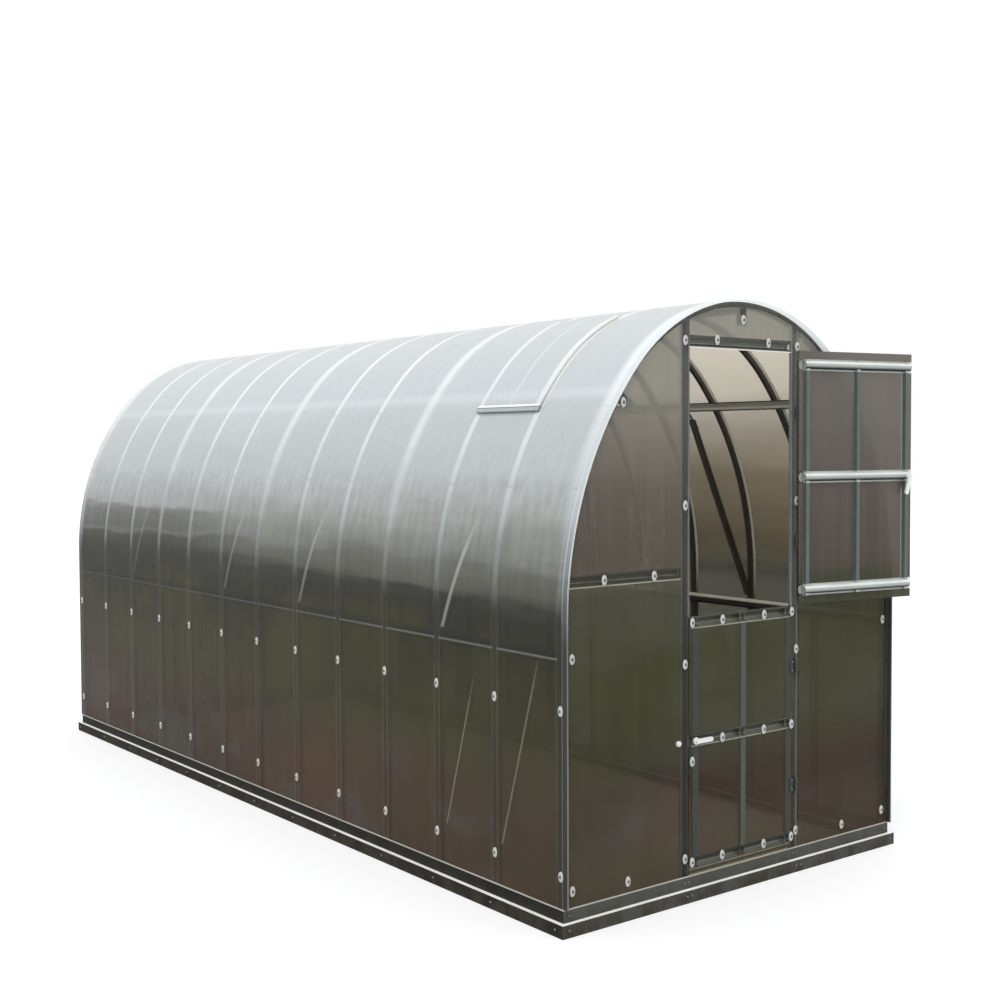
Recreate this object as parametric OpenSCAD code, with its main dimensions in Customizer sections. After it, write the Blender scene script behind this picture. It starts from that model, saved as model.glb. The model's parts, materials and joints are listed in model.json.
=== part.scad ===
// Arched greenhouse: a galvanised frame of hat profiles under twin-wall sheets,
// standing on a double base profile, with a stable door in its front gable.
// The origin is on the ground, in the middle of the front sill.
// +X is to the right seen from the door, +Y runs along the house and +Z is up.
// All sizes are in millimetres.

/* [House] */
// Width over the arches
frame_w = 1704; // [1400:10:2400]
// Spacing of the arches
bay = 350; // [280:10:700]
// Bays covered by one roof sheet
bays_per_sheet = 3; // [2:1:4]
// Number of roof sheets along the house
sheets = 4; // [2:1:4]
// Height of the straight wall legs above ground
spring_z = 1045; // [900:5:1250]
// Height of the arches' outer face at the ridge
apex_z = 2132; // [1950:1:2400]
// How much shorter the crown arc's radius is than half the width
crown_in = 142; // [110:2:200]

/* [Profiles] */
// Width of a hat profile over its flanges
hat_w = 44; // [36:1:60]
// Width of a hat profile where its webs leave the flanges
hat_base = 30; // [24:1:36]
// Width of a hat profile's crown
hat_crown = 18; // [12:1:24]
// Depth of every frame profile
hat_d = 20; // [15:1:30]
// Width of the light hat profile of braces and leaf stiles
slim_w = 30; // [24:1:36]
// Depth of the leaves' stiles and uprights
stile_d = 12; // [8:1:15]
// Steel thickness of the profiles
steel_t = 1.5; // [1:0.1:3]
// Width of the box section of the end arches
end_arch_w = 25; // [20:1:50]

/* [Sheets] */
// Thickness of the twin-wall sheets
sheet_t = 6; // [4:1:10]
// How far the roof sheets stand out past the gables
eave = 20; // [2:1:30]

/* [Base] */
// Height of the foundation profile
found_h = 45; // [30:1:80]
// Width of the foundation profile
found_w = 60; // [50:1:80]
// Ledge of the foundation profile outside the base rail
ledge = 18; // [8:1:24]
// Height of the base rail's outer wall
base_h = 45; // [30:1:60]
// Height of the base rail's inner wall
base_in_h = 25; // [15:1:40]
// Steel thickness of the base rail and the foundation profile
base_t = 2; // [1.5:0.5:3]

/* [Purlins and braces] */
// Height of the lower purlins' centre line
low_purlin_z = 915; // [700:5:1000]
// Angle of the upper purlins below the knee of the arch
up_purlin_drop = 5.7; // [4:0.1:12]
// Shift of a left brace along the house
left_brace_y = 235; // [60:5:300]
// Shift of a right brace along the house
right_brace_y = 150; // [60:5:300]

/* [Gable] */
// Distance of a door post's centre from the middle
post_x = 290; // [250:5:450]
// Height of the gable rails' centre line
rail_z = 1167; // [1100:1:1300]
// Drop of the header's centre line below the ridge
header_drop = 152; // [142:1:260]
// Length of the brackets between the end arches and the purlins' ends
bracket_l = 62; // [40:2:90]

/* [Door] */
// Clearance of the leaves in the door frame
leaf_gap = 6; // [5:1:12]
// Overlap of a leaf's sheet on the door posts
leaf_lap = 11; // [6:1:16]
// Height of the upper edge of the lower leaf's sheet
split_z = 1012; // [800:2:1300]
// Height of the lower leaf's middle rail
low_mid_z = 569; // [400:1:700]
// Height of the upper leaf's middle rail above the leaf's lower edge
up_mid_rise = 476; // [300:1:600]
// How far the lower leaf's sheet hangs below its frame
low_foot_lap = 10; // [0:1:30]
// How far the upper leaf's sheet hangs below its frame
up_foot_lap = 31; // [0:1:60]
// How far the upper leaf's sheet stands above its frame
up_head_lap = 30; // [0:1:60]
// Opening angle of the upper leaf as it stands
open_a = 170; // [0:1:172]
// Height of a hinge
hinge_h = 50; // [40:2:90]
// Distance of a leaf's lower hinge from the leaf's lower edge
hinge_foot = 236; // [120:2:300]
// Distance of a leaf's upper hinge from the leaf's upper edge
hinge_head = 230; // [120:2:300]
// Radius of a hinge knuckle
knuckle_r = 5; // [4.5:0.5:8]
// Radius of a hinge pin
pin_r = 2.5; // [2:0.5:4]
// Length of a handle's lever
lever_l = 76; // [60:1:120]

/* [Roof vent] */
// Angle of the vent's lower edge below the knee of the arch
vent_drop = 8.7; // [6:0.1:15]
// Angle between the vent's upper edge and the ridge
vent_ridge_a = 22; // [16:1:40]
// Bay of the roof vent, counted from the door
vent_bay = 1; // [1:1:6]
// Width of the vent's kerb
kerb_w = 24; // [16:1:40]
// Height of the vent's kerb above the roof sheet
kerb_h = 4; // [2:1:25]
// Width of the vent's middle rail
vent_rail_w = 18; // [10:1:40]
// Overhang of the vent's sheet over its kerb, to each side
vent_lap = 10; // [4:1:20]
// Angle that the profile on the vent's lower edge covers
vent_edge_a = 1.2; // [1:0.1:3]

/* [Hidden] */
$fn = 96;
e = 1;
seat = 0.3;
n_bays = bays_per_sheet * sheets;
length = bay * n_bays;
half = frame_w / 2;
crown_r = half - crown_in;
rise = apex_z - spring_z;
// three tangent arcs make the arch: a side arc, the crown arc and a side arc
side_r = (half * half + rise * rise - 2 * rise * crown_r) / (2 * crown_in);
side_cx = half - side_r;
crown_cz = apex_z - crown_r;
arc_a = atan2(crown_cz - spring_z, -side_cx);
knee_lap = 1;
bow_steps = 10;
up_purlin_a = arc_a - up_purlin_drop;

gable_y = -end_arch_w / 2;
gable_out = gable_y - sheet_t;
purlin_y = gable_y + hat_d + seat;
skin_out = half + sheet_t;
foot_z = found_h + base_t;

base_x = skin_out + base_t;
base_y = gable_out - base_t;
base_in_x = half - hat_d - base_t;
base_in_y = end_arch_w / 2 + base_t;
found_x = base_x + ledge;
found_y = base_y - ledge;

post_edge = post_x - hat_w / 2;
leaf_x = post_edge - leaf_gap;
leaf_sheet_x = post_edge + leaf_lap;
fixed_edge = leaf_sheet_x + leaf_gap;
leaf_y = gable_y - 5;
leaf_out = leaf_y - sheet_t;
low_bottom = found_h + base_h + leaf_gap + 1;
up_bottom = split_z + leaf_gap;
header_z = apex_z - header_drop;
header_lap = 14;
up_top = header_z - header_lap;
fixed_top = up_top + leaf_gap;
up_mid_z = up_bottom + up_mid_rise;

hinge_x = leaf_sheet_x + leaf_gap / 2;
hinge_y = leaf_out - knuckle_r - 1;
hinge_plate = 3;
hinge_reach = 20;
low_hinge_zs = [low_bottom + hinge_foot, split_z - hinge_head];
up_hinge_zs = [up_bottom + hinge_foot, up_top - hinge_head];

handle_x = -leaf_x + slim_w / 2;
spindle_r = 5;
lever_t = 8;
lever_w = 16;

brace_arches = [for (k = [2, 5, 7, 10]) if (k < n_bays) k];

vent_a0 = arc_a - vent_drop;
vent_a1 = 90 - vent_ridge_a;
vent_w = bay - 10;
vent_in_w = vent_w - 2 * kerb_w;
lip_a = 0.1;

function pad(i) = str(i < 10 ? "0" : "", i);
function arch_name(i) = str("arch_", pad(i));
function roof_name(i) = str("roof_sheet_", i + 1);

steel = "slategray";
bright = "silver";
clear = "darkkhaki";
white = "whitesmoke";

// ---- sections: x runs inward from the outer face, y runs across ----

module hat(w = hat_w, base = hat_base, crown = hat_crown, d = hat_d) {
    t = steel_t;
    polygon([
        [0, -w / 2], [t, -w / 2], [t, -base / 2], [d, -crown / 2],
        [d, crown / 2], [t, base / 2], [t, w / 2], [0, w / 2],
        [0, base / 2 - t], [d - t, crown / 2 - t],
        [d - t, -crown / 2 + t], [0, -base / 2 + t]
    ]);
}

module slim_hat() {
    hat(slim_w, slim_w - 8, slim_w - 16);
}

// a shallow hat profile for the stiles and uprights of the leaves
module stile_hat() {
    hat(slim_w, slim_w - 8, slim_w - 14, stile_d);
}

// points of half an oval that stands on x = x0, from -Y to +Y when way is 1
function bow(x0, depth, r, way) = [
    for (k = [0 : bow_steps])
        [x0 + depth * sin(180 * k / bow_steps), -way * r * cos(180 * k / bow_steps)]
];

// the rolled profile of the leaves' rails, with a round back
module rail_hat() {
    t = steel_t;
    r = hat_base / 2 + 1;
    polygon(concat(
        [[0, -hat_w / 2], [t, -hat_w / 2]],
        bow(t, hat_d - t, r, 1),
        [[t, hat_w / 2], [0, hat_w / 2]],
        bow(0, hat_d - t, r - t, -1)
    ));
}

module box_tube() {
    difference() {
        translate([0, -end_arch_w / 2])
            square([hat_d, end_arch_w]);
        translate([steel_t, -end_arch_w / 2 + steel_t])
            square([hat_d - 2 * steel_t, end_arch_w - 2 * steel_t]);
    }
}

// ---- sweeps along the arch, with the section as the child ----

// one arc of the right side or the crown, about its own centre
module arc_sweep(cx, cz, r, start, turn) {
    translate([cx, 0, cz])
        rotate([90, 0, 0])
            rotate_extrude(angle = turn, start = start)
                translate([r, 0])
                    mirror([1, 0])
                        children();
}

// the right leg and side arc, a little past the knee
module side_sweep(foot) {
    translate([half, 0, foot])
        mirror([1, 0, 0])
            linear_extrude(spring_z - foot)
                children();
    arc_sweep(side_cx, spring_z, side_r, 0, arc_a + knee_lap)
        children();
}

// all that lies above the two knees, where one cut ends the side arcs and the crown arc
module knee_wedge() {
    reach = 2 * crown_r;
    knee_z = crown_cz + reach * sin(arc_a);
    knee_x = reach * cos(arc_a);
    translate([0, length, 0])
        rotate([90, 0, 0])
            linear_extrude(2 * length)
                polygon([[0, crown_cz], [knee_x, knee_z], [0, crown_cz + 2 * reach], [-knee_x, knee_z]]);
}

// the whole arch from foot to foot
module arch_sweep(foot) {
    difference() {
        union() {
            side_sweep(foot)
                children();
            mirror([1, 0, 0])
                side_sweep(foot)
                    children();
        }
        knee_wedge();
    }
    intersection() {
        arc_sweep(0, crown_cz, crown_r, arc_a - knee_lap, 180 - 2 * arc_a + 2 * knee_lap)
            children();
        knee_wedge();
    }
}

// a point of the left slope, at an angle on the side arc or on the crown arc
function side_point(a, r) = [-side_cx - r * cos(a), spring_z + r * sin(a)];
function crown_point(a, r) = [-r * cos(a), crown_cz + r * sin(a)];
function slope_point(a, d) = a < arc_a ? side_point(a, side_r + d) : crown_point(a, crown_r + d);

// the left slope between an angle on the side arc and one on the crown arc
module slope_sweep(a0, a1, w) {
    reach = 200;
    intersection() {
        arch_sweep(spring_z - e)
            children();
        translate([0, w / 2, 0])
            rotate([90, 0, 0])
                linear_extrude(w)
                    polygon([
                        slope_point(a0, -reach), slope_point(a0, reach),
                        slope_point(a1, reach), slope_point(a1, -reach)
                    ]);
    }
}

// the gable's outline, drawn inward of the arches' outer face by inset
module arch_outline(inset, foot) {
    knee_z = crown_cz + (crown_r - inset) * sin(arc_a);
    translate([-half + inset, foot])
        square([frame_w - 2 * inset, spring_z - foot]);
    intersection() {
        translate([side_cx, spring_z])
            circle(side_r - inset);
        translate([-side_cx, spring_z])
            circle(side_r - inset);
        translate([-half, spring_z])
            square([frame_w, knee_z - spring_z]);
    }
    intersection() {
        translate([0, crown_cz])
            circle(crown_r - inset);
        translate([-half, knee_z])
            square([frame_w, rise]);
    }
}

// a plate of the gable's shape with its back on the plane y
module gable_plate(inset, foot, y, t) {
    translate([0, y, 0])
        rotate([90, 0, 0])
            linear_extrude(t)
                arch_outline(inset, foot);
}

module box(x0, y0, z0, x1, y1, z1) {
    translate([x0, y0, z0])
        cube([x1 - x0, y1 - y0, z1 - z0]);
}

// ---- base ----

// what one side takes of a rectangular ring, mitred at its corners
module mitre(side, x_out, y_out, x_in, y_in, h) {
    far_out = length - y_out;
    far_in = length - y_in;
    linear_extrude(h)
        if (side == "front")
            polygon([[-x_out, y_out], [x_out, y_out], [x_in, y_in], [-x_in, y_in]]);
        else if (side == "rear")
            polygon([[-x_out, far_out], [x_out, far_out], [x_in, far_in], [-x_in, far_in]]);
        else if (side == "right")
            polygon([[x_out, y_out], [x_out, far_out], [x_in, far_in], [x_in, y_in]]);
        else
            polygon([[-x_out, y_out], [-x_out, far_out], [-x_in, far_in], [-x_in, y_in]]);
}

// a rectangular ring round the house, between two outlines
module ring(x_out, y_out, x_in, y_in, z, h) {
    difference() {
        box(-x_out, y_out, z, x_out, length - y_out, z + h);
        box(-x_in, y_in, z - e, x_in, length - y_in, z + h + e);
    }
}

// foundation profile: a channel open to the inside
module foundation(side) {
    x_in = found_x - found_w;
    y_in = found_y + found_w;
    color(steel)
        intersection() {
            union() {
                ring(found_x, found_y, x_in, y_in, 0, base_t);
                ring(found_x, found_y, x_in, y_in, found_h - base_t, base_t);
                ring(found_x, found_y, found_x - base_t, found_y + base_t, 0, found_h);
            }
            mitre(side, found_x, found_y, x_in, y_in, found_h);
        }
}

// base rail: a channel open to the top, which takes the arches and the sheets
module base_rail(side) {
    color(steel)
        translate([0, 0, found_h])
            intersection() {
                union() {
                    ring(base_x, base_y, base_in_x, base_in_y, 0, base_t);
                    ring(base_x, base_y, skin_out, gable_out, 0, base_h);
                    ring(base_in_x + base_t, base_in_y - base_t, base_in_x, base_in_y, 0, base_in_h);
                }
                mitre(side, base_x, base_y, base_in_x, base_in_y, base_h);
            }
}

// ---- frame ----

module arch(i) {
    color(steel)
        translate([0, i * bay, 0])
            if (i == 0 || i == n_bays)
                arch_sweep(foot_z)
                    box_tube();
            else
                arch_sweep(foot_z)
                    hat();
}

// how far from an arc of radius r a flat purlin flange lies, its edges just clear of the arc
function flange_r(r) = sqrt(pow(r - hat_d, 2) - pow(hat_w / 2, 2)) - seat;

// a straight purlin whose flanges lie at r from a centre, its outward direction at angle a
module purlin(cx, cz, r, a) {
    translate([cx + r * cos(a), length - purlin_y, cz + r * sin(a)])
        rotate([0, -a, 0])
            rotate([90, 0, 0])
                linear_extrude(length - 2 * purlin_y)
                    mirror([1, 0])
                        hat();
}

module ridge_purlin() {
    color(steel)
        purlin(0, crown_cz, flange_r(crown_r), 90);
}

module upper_purlins() {
    color(steel)
        for (s = [0, 1])
            mirror([s, 0, 0])
                purlin(side_cx, spring_z, flange_r(side_r), up_purlin_a);
}

module lower_purlins() {
    color(steel)
        for (s = [0, 1])
            mirror([s, 0, 0])
                purlin(0, low_purlin_z, half - hat_d, 0);
}

// a slim bar on the right slope, from the point p to the point q on the arches' inner face
module brace(p, q) {
    d = q - p;
    run = norm([d[1], d[2]]);
    translate(p)
        rotate([atan2(-d[1], d[2]), 0, 0])
            rotate([0, atan2(d[0], run), 0])
                mirror([1, 0, 0])
                    linear_extrude(norm(d))
                        slim_hat();
}

function inner_x(z) =
    side_cx + sqrt(pow(side_r - hat_d, 2) - pow(z - spring_z, 2)) - 3 * seat;

// the braces of the right slope, from an arch over the lower purlin up to the upper purlin
module braces(shift) {
    z0 = low_purlin_z + hat_w / 2 + 20;
    a = up_purlin_a - 3;
    z1 = spring_z + (side_r - hat_d) * sin(a);
    for (k = brace_arches)
        brace([half - hat_d - 3 * seat, k * bay, z0], [inner_x(z1), k * bay + shift, z1]);
}

module braces_left()
    color(bright)
        mirror([1, 0, 0])
            braces(-left_brace_y);

module braces_right()
    color(bright)
        braces(right_brace_y);

// ---- gables ----

// an upright hat profile behind the plane y, from z0 up to z1
module upright(x, y, z0, z1) {
    translate([x, y, z0])
        rotate([0, 0, 90])
            linear_extrude(z1 - z0)
                hat();
}

// a level profile behind the plane y, from x0 to x1, with the section as the child
module level(x0, x1, y, z) {
    translate([x0, y, z])
        rotate([0, 90, 0])
            rotate([0, 0, 90])
                linear_extrude(x1 - x0)
                    children();
}

// a post of a gable, from the base rail up to the crown of the arch
module gable_post(x) {
    difference() {
        upright(x, gable_y, foot_z, apex_z);
        difference() {
            box(-half, gable_y - e, crown_cz, half, gable_y + hat_d + e, apex_z + e);
            translate([0, gable_y + hat_d + 2 * e, crown_cz])
                rotate([90, 0, 0])
                    cylinder(r = crown_r - hat_d - seat, h = hat_d + 4 * e);
        }
    }
}

module gable_posts() {
    for (s = [-1, 1])
        gable_post(s * post_x);
}

module door_posts() {
    color(steel)
        gable_posts();
}

module door_header() {
    color(steel)
        level(-post_edge, post_edge, gable_y, header_z)
            hat();
}

// a short hat profile that stands on an end arch's inner face, at angle a about a centre
module gable_bracket(cx, cz, r, a) {
    translate([cx, 0, cz])
        rotate([0, -a, 0])
            level(flange_r(r) - bracket_l, flange_r(r), gable_y, 0)
                hat();
}

// the brackets behind a gable's sheet, where the ridge and upper purlins end
module brackets() {
    gable_bracket(0, crown_cz, crown_r, 90);
    for (s = [0, 1])
        mirror([s, 0, 0])
            gable_bracket(side_cx, spring_z, side_r, up_purlin_a);
}

module gable_brackets() {
    color(steel) {
        brackets();
        translate([0, length, 0])
            mirror([0, 1, 0])
                brackets();
    }
}

module side_rails(y) {
    x0 = post_x + hat_w / 2;
    x1 = inner_x(rail_z + hat_w / 2) + 2 * seat;
    for (s = [0, 1])
        mirror([s, 0, 0])
            level(x0, x1, y, rail_z)
                hat();
}

module front_rails() {
    color(steel)
        side_rails(gable_y);
}

module rear_posts() {
    color(steel)
        translate([0, length, 0])
            mirror([0, 1, 0])
                gable_posts();
}

module rear_rails() {
    color(steel)
        translate([0, length, 0])
            mirror([0, 1, 0]) {
                side_rails(gable_y);
                for (z = [rail_z, header_z])
                    level(-post_edge, post_edge, gable_y, z)
                        hat();
            }
}

module front_sheet_left() {
    color(clear)
        intersection() {
            gable_plate(seat, foot_z, gable_y, sheet_t);
            box(-skin_out, gable_out - e, 0, -fixed_edge, gable_y + e, apex_z);
        }
}

module front_sheet_right() {
    color(clear)
        mirror([1, 0, 0])
            front_sheet_left();
}

module front_sheet_top() {
    color(clear)
        intersection() {
            gable_plate(seat, foot_z, gable_y, sheet_t);
            box(-fixed_edge, gable_out - e, fixed_top, fixed_edge, gable_y + e, apex_z);
        }
}

module rear_sheet() {
    color(clear)
        gable_plate(seat, foot_z, length - gable_out, sheet_t);
}

// ---- roof ----

// room for the base rail under the overhang at the front gable
module corner_notch() {
    box(-base_x, gable_out - eave - e, 0, base_x, gable_out, found_h + base_h + seat);
}

// a roof sheet over the arches, from y0 to y1
module roof_sheet(i) {
    first = i == 0;
    last = i == sheets - 1;
    y0 = first ? gable_out - eave : i * bays_per_sheet * bay + seat;
    y1 = last ? length - gable_out + eave : (i + 1) * bays_per_sheet * bay - seat;
    color(clear)
        difference() {
            translate([0, (y0 + y1) / 2, 0])
                arch_sweep(foot_z)
                    translate([-sheet_t, -(y1 - y0) / 2])
                        square([sheet_t, y1 - y0]);
            if (vent_bay >= i * bays_per_sheet && vent_bay < (i + 1) * bays_per_sheet)
                vent_sweep(vent_a0 + 1, vent_a1 - 1, -sheet_t - e, e, vent_in_w);
            if (first)
                corner_notch();
            if (last)
                translate([0, length, 0])
                    mirror([0, 1, 0])
                        corner_notch();
        }
}

// ---- roof vent ----

// a band on the vent's slope, between two depths and of width w
module vent_sweep(a0, a1, d0, d1, w) {
    translate([0, (vent_bay + 0.5) * bay, 0])
        slope_sweep(a0, a1, w)
            translate([d0, -w / 2])
                square([d1 - d0, w]);
}

// the kerb round the opening in the roof sheet with its middle rail, and the profile
// that closes the lower edge of the vent's sheet
module vent_frame() {
    top = -sheet_t - seat - kerb_h;
    edge_in = top - seat;
    edge_out = edge_in - 2 * seat - sheet_t - steel_t;
    color(bright) {
        difference() {
            vent_sweep(vent_a0, vent_a1, top, -sheet_t - seat, vent_w);
            vent_sweep(vent_a0 + 1, vent_a1 - 1, top - e, 0, vent_in_w);
        }
        vent_sweep(vent_a0 + 0.9, vent_a1 - 0.9, top, -sheet_t - seat, vent_rail_w);
        difference() {
            vent_sweep(
                vent_a0 - lip_a, vent_a0 - lip_a + vent_edge_a,
                edge_out, -sheet_t - seat, vent_w + 2 * vent_lap + 4
            );
            vent_sweep(
                vent_a0 + lip_a / 5, vent_a0 + 2,
                edge_in - sheet_t - 2 * seat, e, vent_w + 3 * vent_lap
            );
        }
    }
}

// the vent's own sheet on the kerb
module vent_sheet() {
    under = -sheet_t - 2 * seat - kerb_h;
    color(clear)
        vent_sweep(vent_a0 + lip_a / 2, vent_a1 + 0.5, under - sheet_t, under, vent_w + 2 * vent_lap);
}

// ---- door hardware on the frame ----

// the post's half of a lift-off hinge: a plate, the lower knuckle and the pin
module post_hinge(z) {
    translate([hinge_x, hinge_y, z - hinge_h / 2])
        cylinder(r = knuckle_r, h = hinge_h / 2 - 1);
    translate([hinge_x, hinge_y, z - hinge_h / 2])
        cylinder(r = pin_r, h = hinge_h - 6);
    box(
        fixed_edge, gable_out - hinge_plate, z - hinge_h / 2,
        fixed_edge + hinge_reach, gable_out, z + hinge_h / 2
    );
    box(
        hinge_x, hinge_y, z - hinge_h / 2,
        hinge_x + knuckle_r, gable_out - hinge_plate + e, z - 1
    );
}

module post_hinges() {
    color(bright)
        for (z = concat(low_hinge_zs, up_hinge_zs))
            post_hinge(z);
}

// the keep that the lower handle turns against, on the left door post
module latch_keep() {
    x = -fixed_edge - 45;
    color(white)
        translate([x, gable_out, low_mid_z]) {
            rotate([90, 0, 0])
                cylinder(r = 10, h = 7);
            rotate([90, 0, 0])
                cylinder(r = 5, h = 12);
        }
}

// ---- leaves, drawn closed ----

// the frame of a leaf from height lo to hi, with a middle rail
module leaf_frame(lo, hi, mid_z) {
    color(bright)
        difference() {
            union() {
                for (x = [-leaf_x + slim_w / 2, 0, leaf_x - slim_w / 2])
                    translate([x, leaf_y, lo + e])
                        rotate([0, 0, 90])
                            linear_extrude(hi - lo - 2 * e)
                                stile_hat();
                for (z = [lo + hat_w / 2, mid_z, hi - hat_w / 2])
                    level(-leaf_x, leaf_x, leaf_y, z)
                        rail_hat();
            }
            spindle_hole(mid_z);
        }
}

module leaf_sheet(z0, z1, mid_z) {
    color(clear)
        difference() {
            box(-leaf_sheet_x, leaf_out, z0, leaf_sheet_x, leaf_y, z1);
            spindle_hole(mid_z);
        }
}

// the hole for a handle's spindle through the sheet and the stile
module spindle_hole(z) {
    translate([handle_x, leaf_y + hat_d + e, z])
        rotate([90, 0, 0])
            cylinder(r = spindle_r + seat, h = hat_d + sheet_t + 2 * e);
}

// the leaf's half of a lift-off hinge
module leaf_hinge(z) {
    plate_x = hinge_x - knuckle_r - 2;
    difference() {
        union() {
            translate([hinge_x, hinge_y, z + 1])
                cylinder(r = knuckle_r, h = hinge_h / 2 - 1);
            box(
                plate_x - hinge_reach, leaf_out - hinge_plate, z - hinge_h / 2,
                plate_x, leaf_out, z + hinge_h / 2
            );
            box(
                plate_x - e, leaf_out - hinge_plate, z + 1,
                hinge_x, leaf_out, z + hinge_h / 2
            );
        }
        translate([hinge_x, hinge_y, z])
            cylinder(r = pin_r + seat, h = hinge_h / 2 - 4);
    }
}

// a turning handle: a lever outside, a lever inside and the spindle between them
module handle(z, turn) {
    out_y = leaf_out - seat;
    in_y = leaf_y + hat_d + seat;
    color(white)
        translate([handle_x, 0, z])
            rotate([0, turn, 0]) {
                translate([0, in_y + e, 0])
                    rotate([90, 0, 0])
                        cylinder(r = spindle_r, h = in_y - out_y + 2 * e);
                translate([0, out_y, 0])
                    lever(1);
                translate([0, in_y, 0])
                    mirror([0, 1, 0])
                        lever(1);
            }
}

// a lever with round ends on a round boss, standing out towards -Y
module lever(share) {
    reach = lever_l * share;
    rotate([90, 0, 0]) {
        cylinder(r = 13, h = 6);
        translate([0, 0, 6]) {
            linear_extrude(lever_t)
                union() {
                    circle(lever_w / 2);
                    translate([0, -lever_w / 2])
                        square([reach - lever_w / 2, lever_w]);
                    translate([reach - lever_w / 2, 0])
                        circle(lever_w / 2);
                }
        }
    }
}

module lower_leaf_frame() {
    leaf_frame(low_bottom + low_foot_lap, split_z, low_mid_z);
}

module lower_leaf_sheet() {
    leaf_sheet(low_bottom, split_z, low_mid_z);
}

module lower_leaf_hinges() {
    color(bright)
        for (z = low_hinge_zs)
            leaf_hinge(z);
}

module lower_handle() {
    handle(low_mid_z, 0);
}

// swings a closed piece of the upper leaf to where it stands open
module swung() {
    translate([hinge_x, hinge_y, 0])
        rotate([0, 0, open_a])
            translate([-hinge_x, -hinge_y, 0])
                children();
}

module upper_leaf_frame() {
    swung()
        leaf_frame(up_bottom + up_foot_lap, up_top - up_head_lap, up_mid_z);
}

module upper_leaf_sheet() {
    swung()
        leaf_sheet(up_bottom, up_top, up_mid_z);
}

module upper_leaf_hinges() {
    color(bright)
        swung()
            for (z = up_hinge_zs)
                leaf_hinge(z);
}

module upper_handle() {
    swung()
        handle(up_mid_z, 75);
}

// ---- every node, drawn only by these lines ----

for (side = ["front", "rear", "left", "right"]) {
    foundation(side);
    base_rail(side);
}
for (i = [0 : n_bays])
    arch(i);
for (i = [0 : sheets - 1])
    roof_sheet(i);
ridge_purlin();
upper_purlins();
lower_purlins();
braces_left();
braces_right();
door_posts();
door_header();
gable_brackets();
front_rails();
front_sheet_left();
front_sheet_right();
front_sheet_top();
rear_posts();
rear_rails();
rear_sheet();
vent_frame();
vent_sheet();
post_hinges();
latch_keep();
lower_leaf_frame();
lower_leaf_sheet();
lower_leaf_hinges();
lower_handle();
upper_leaf_frame();
upper_leaf_sheet();
upper_leaf_hinges();
upper_handle();
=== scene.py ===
"""Looks of the arched greenhouse: its materials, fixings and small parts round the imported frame."""
import json
import math

import bpy
from mathutils import Matrix, Vector


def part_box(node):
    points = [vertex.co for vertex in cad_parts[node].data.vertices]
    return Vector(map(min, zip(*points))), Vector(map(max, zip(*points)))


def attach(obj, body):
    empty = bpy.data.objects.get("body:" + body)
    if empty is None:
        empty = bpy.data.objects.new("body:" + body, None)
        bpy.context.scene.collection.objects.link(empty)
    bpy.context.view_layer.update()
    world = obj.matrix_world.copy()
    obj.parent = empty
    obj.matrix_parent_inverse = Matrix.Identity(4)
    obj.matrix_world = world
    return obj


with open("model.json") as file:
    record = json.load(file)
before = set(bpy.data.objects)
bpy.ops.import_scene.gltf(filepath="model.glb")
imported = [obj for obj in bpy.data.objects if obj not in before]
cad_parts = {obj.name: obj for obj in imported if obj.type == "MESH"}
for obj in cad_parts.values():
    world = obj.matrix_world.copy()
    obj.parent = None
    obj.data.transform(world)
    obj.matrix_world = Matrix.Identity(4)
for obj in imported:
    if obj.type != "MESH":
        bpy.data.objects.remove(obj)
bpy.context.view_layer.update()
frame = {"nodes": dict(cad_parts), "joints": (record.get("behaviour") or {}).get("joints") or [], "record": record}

NODES = frame["nodes"]

# ---- places that everything else follows, in metres ----


def low(node, axis):
    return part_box(node)[0][axis]


def high(node, axis):
    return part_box(node)[1][axis]


def middle(node, axis):
    return (low(node, axis) + high(node, axis)) / 2


# the arches, and the three-centred curve on which their sheets lie: half the width over the
# sheets and over the arches, the radii of its sides and its crown, and where these meet
ARCHES = sorted(name for name in NODES if name.startswith("arch_"))
ARCH_YS = [middle(name, 1) for name in ARCHES]
BAY = ARCH_YS[1] - ARCH_YS[0]
LENGTH = ARCH_YS[-1]
BAYS_PER_SHEET = 3
SHEET_T = 0.006
SKIN_X = high("roof_sheet_2", 0)
HALF = SKIN_X - SHEET_T
APEX_Z = high("arch_03", 2)
SPRING_Z = 1.045
CROWN_INSET = 0.142
CROWN_R = HALF - CROWN_INSET
RISE = APEX_Z - SPRING_Z
SIDE_R = (HALF**2 + RISE**2 - 2 * RISE * CROWN_R) / (2 * (HALF - CROWN_R))
SIDE_CX = HALF - SIDE_R
CROWN_CZ = APEX_Z - CROWN_R
KNEE_Z = CROWN_CZ + CROWN_R * math.sin(math.atan2(CROWN_CZ - SPRING_Z, -SIDE_CX))
EAVE_FRONT = low("roof_sheet_1", 1)
EAVE_REAR = high("roof_sheet_4", 1)

# heights on the purlins, where painted shade and painted highlights run along them; braces, each
# from its foot on a braced arch up to the upper purlin, with how far it rises and how far its
# upper end lies from its foot along the house
UPPER_PURLIN_FOOT = 1.7622
UPPER_PURLIN_HEAD = 1.7938
UPPER_PURLIN_LIGHT_Z = 1.800
LOW_PURLIN_LIP = 0.915
LOW_PURLIN_BODY = LOW_PURLIN_LIP + 0.017
LOW_PURLIN_LINE = 0.9290
BRACED = (2, 5, 7, 10)
BRACE_RISE = 0.770
BRACE_LEAN = {"left": -0.235, "right": 0.150}
BRACE_FOOT_Z = 0.955

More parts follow.
